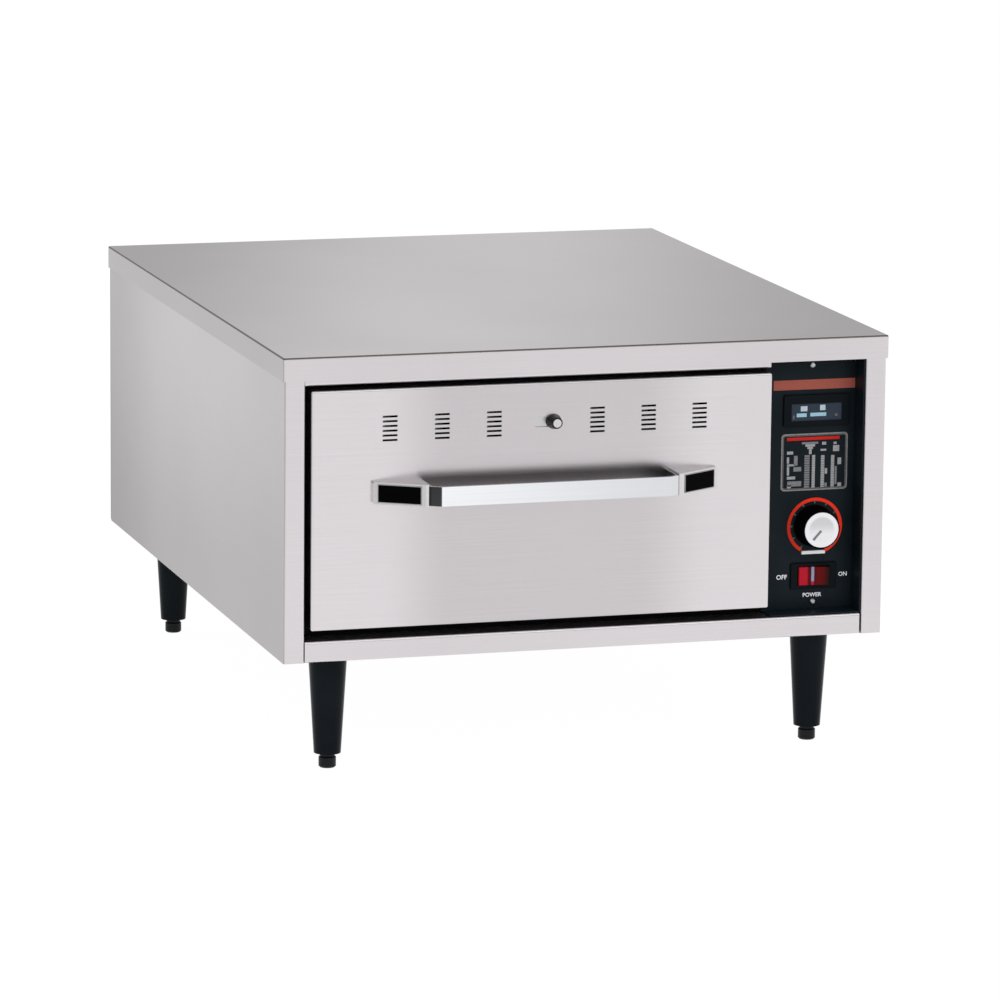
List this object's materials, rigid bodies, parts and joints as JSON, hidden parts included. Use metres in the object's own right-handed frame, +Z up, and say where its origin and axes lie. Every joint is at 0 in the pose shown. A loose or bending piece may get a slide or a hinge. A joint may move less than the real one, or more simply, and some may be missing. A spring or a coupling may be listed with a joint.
{
  "type": "warming drawer",
  "caption": "Free-standing insulated warming cabinet with a deep pan drawer on roller slides, a strap handle, a sliding vent and a recessed control panel, on adjustable legs.",
  "frame": {"origin": "on the floor, under the middle of the bounding box", "axes": "+X to the right seen from the front, the front faces -Y, +Z up"},
  "size_m": [0.572, 0.7574, 0.3865],
  "materials": {
    "stainless": "satin",
    "liner_steel": "satin",
    "pan_steel": "satin",
    "slide_steel": "satin",
    "screw_steel": "satin",
    "polished_steel": "polished",
    "vent_knob_metal": "satin",
    "cast_handle": "satin",
    "black_label": "gloss",
    "panel_black": "satin",
    "black_plastic": "matte",
    "display_glass": "gloss",
    "bright_disc": "satin",
    "red_key": "gloss",
    "insulation": "matte",
    "element_sheath": "satin",
    "capillary_copper": "satin",
    "brass": "satin",
    "roller_nylon": "matte",
    "gland_nylon": "matte",
    "leg_black": "gloss",
    "foot_black": "satin"
  },
  "bodies": {
    "cabinet": {"top_cover": "stainless", "left_side_panel": "stainless", "right_side_panel": "stainless", "bottom_rail": "stainless", "top_rail": "stainless", "base_pan": "liner_steel", "back_panel": "liner_steel", "back_screws": "screw_steel", "oven_liner": "liner_steel", "compartment_divider": "liner_steel", "oven_insulation": "insulation", "heating_element": "element_sheath", "element_bushings": "brass", "element_brackets": "slide_steel", "cabinet_rail_left": "slide_steel", "cabinet_rail_right": "slide_steel", "control_panel": "panel_black", "panel_screws": "screw_steel", "display_bezel": "black_plastic", "display_window": "display_glass", "display_module": "black_plastic", "switch_housing": "black_plastic", "thermostat_body": "black_plastic", "thermostat_bulb": "capillary_copper", "bulb_clips": "slide_steel", "terminal_block": "black_plastic", "cable_gland": "gland_nylon", "gland_locknut": "gland_nylon", "leg_plates": "liner_steel", "leg_front_left": "leg_black", "leg_front_right": "leg_black", "leg_rear_left": "leg_black", "leg_rear_right": "leg_black"},
    "drawer": {"drawer_front": "stainless", "drawer_inner_panel": "liner_steel", "vent_guides": "pan_steel", "drawer_insulation": "insulation", "drawer_frame": "pan_steel", "food_pan": "pan_steel", "handle_bar": "polished_steel", "handle_bracket_left": "cast_handle", "handle_bracket_right": "cast_handle", "label_inserts": "black_label", "handle_screws": "screw_steel", "drawer_rail_left": "slide_steel", "drawer_rail_right": "slide_steel"},
    "vent_adjuster": {"vent_slider": "pan_steel", "vent_knob": "vent_knob_metal"},
    "thermostat_knob": {"control_knob": "black_plastic", "knob_disc": "bright_disc", "thermostat_shaft": "slide_steel"},
    "power_rocker": {"switch_rocker": "red_key"},
    "left_cabinet_roller": {"cabinet_roller_left": "roller_nylon"},
    "left_drawer_roller": {"drawer_roller_left": "roller_nylon"},
    "right_cabinet_roller": {"cabinet_roller_right": "roller_nylon"},
    "right_drawer_roller": {"drawer_roller_right": "roller_nylon"},
    "front_left_foot": {"foot_front_left": "foot_black"},
    "front_right_foot": {"foot_front_right": "foot_black"},
    "rear_left_foot": {"foot_rear_left": "foot_black"},
    "rear_right_foot": {"foot_rear_right": "foot_black"}
  },
  "joints": [
    {"name": "drawer_slide", "type": "slide", "parent": "cabinet", "child": "drawer", "axis": [0, -1, 0], "range_m": [0, 0.53]},
    {"name": "vent_slide", "type": "slide", "parent": "drawer", "child": "vent_adjuster", "axis": [-1, 0, 0], "range_m": [0, 0.0153]},
    {"name": "thermostat_turn", "type": "hinge", "parent": "cabinet", "child": "thermostat_knob", "pos_m": [0.226, -0.33725, 0.2065], "axis": [0, 1, 0], "range_deg": [0, 290]},
    {"name": "power_tip", "type": "hinge", "parent": "cabinet", "child": "power_rocker", "pos_m": [0.226, -0.3165, 0.16], "axis": [0, 0, 1], "range_deg": [0, 16]},
    {"name": "left_cabinet_roller_spin", "type": "hinge", "parent": "cabinet", "child": "left_cabinet_roller", "pos_m": [-0.2335, -0.29825, 0.2994], "axis": [1, 0, 0], "continuous": true},
    {"name": "left_drawer_roller_spin", "type": "hinge", "parent": "drawer", "child": "left_drawer_roller", "pos_m": [-0.2335, 0.30025, 0.2994], "axis": [1, 0, 0], "continuous": true},
    {"name": "right_cabinet_roller_spin", "type": "hinge", "parent": "cabinet", "child": "right_cabinet_roller", "pos_m": [0.1475, -0.29825, 0.2994], "axis": [1, 0, 0], "continuous": true},
    {"name": "right_drawer_roller_spin", "type": "hinge", "parent": "drawer", "child": "right_drawer_roller", "pos_m": [0.1475, 0.30025, 0.2994], "axis": [1, 0, 0], "continuous": true},
    {"name": "front_left_foot_height", "type": "slide", "parent": "cabinet", "child": "front_left_foot", "axis": [0, 0, -1], "range_m": [0, 0.02]},
    {"name": "front_right_foot_height", "type": "slide", "parent": "cabinet", "child": "front_right_foot", "axis": [0, 0, -1], "range_m": [0, 0.02]},
    {"name": "rear_left_foot_height", "type": "slide", "parent": "cabinet", "child": "rear_left_foot", "axis": [0, 0, -1], "range_m": [0, 0.02]},
    {"name": "rear_right_foot_height", "type": "slide", "parent": "cabinet", "child": "rear_right_foot", "axis": [0, 0, -1], "range_m": [0, 0.02]}
  ],
  "couplings": [
    {"joint": "left_cabinet_roller_spin", "follows": "drawer_slide", "rad_per_m": 83.333},
    {"joint": "left_drawer_roller_spin", "follows": "drawer_slide", "rad_per_m": 83.333},
    {"joint": "right_cabinet_roller_spin", "follows": "drawer_slide", "rad_per_m": 83.333},
    {"joint": "right_drawer_roller_spin", "follows": "drawer_slide", "rad_per_m": 83.333}
  ]
}
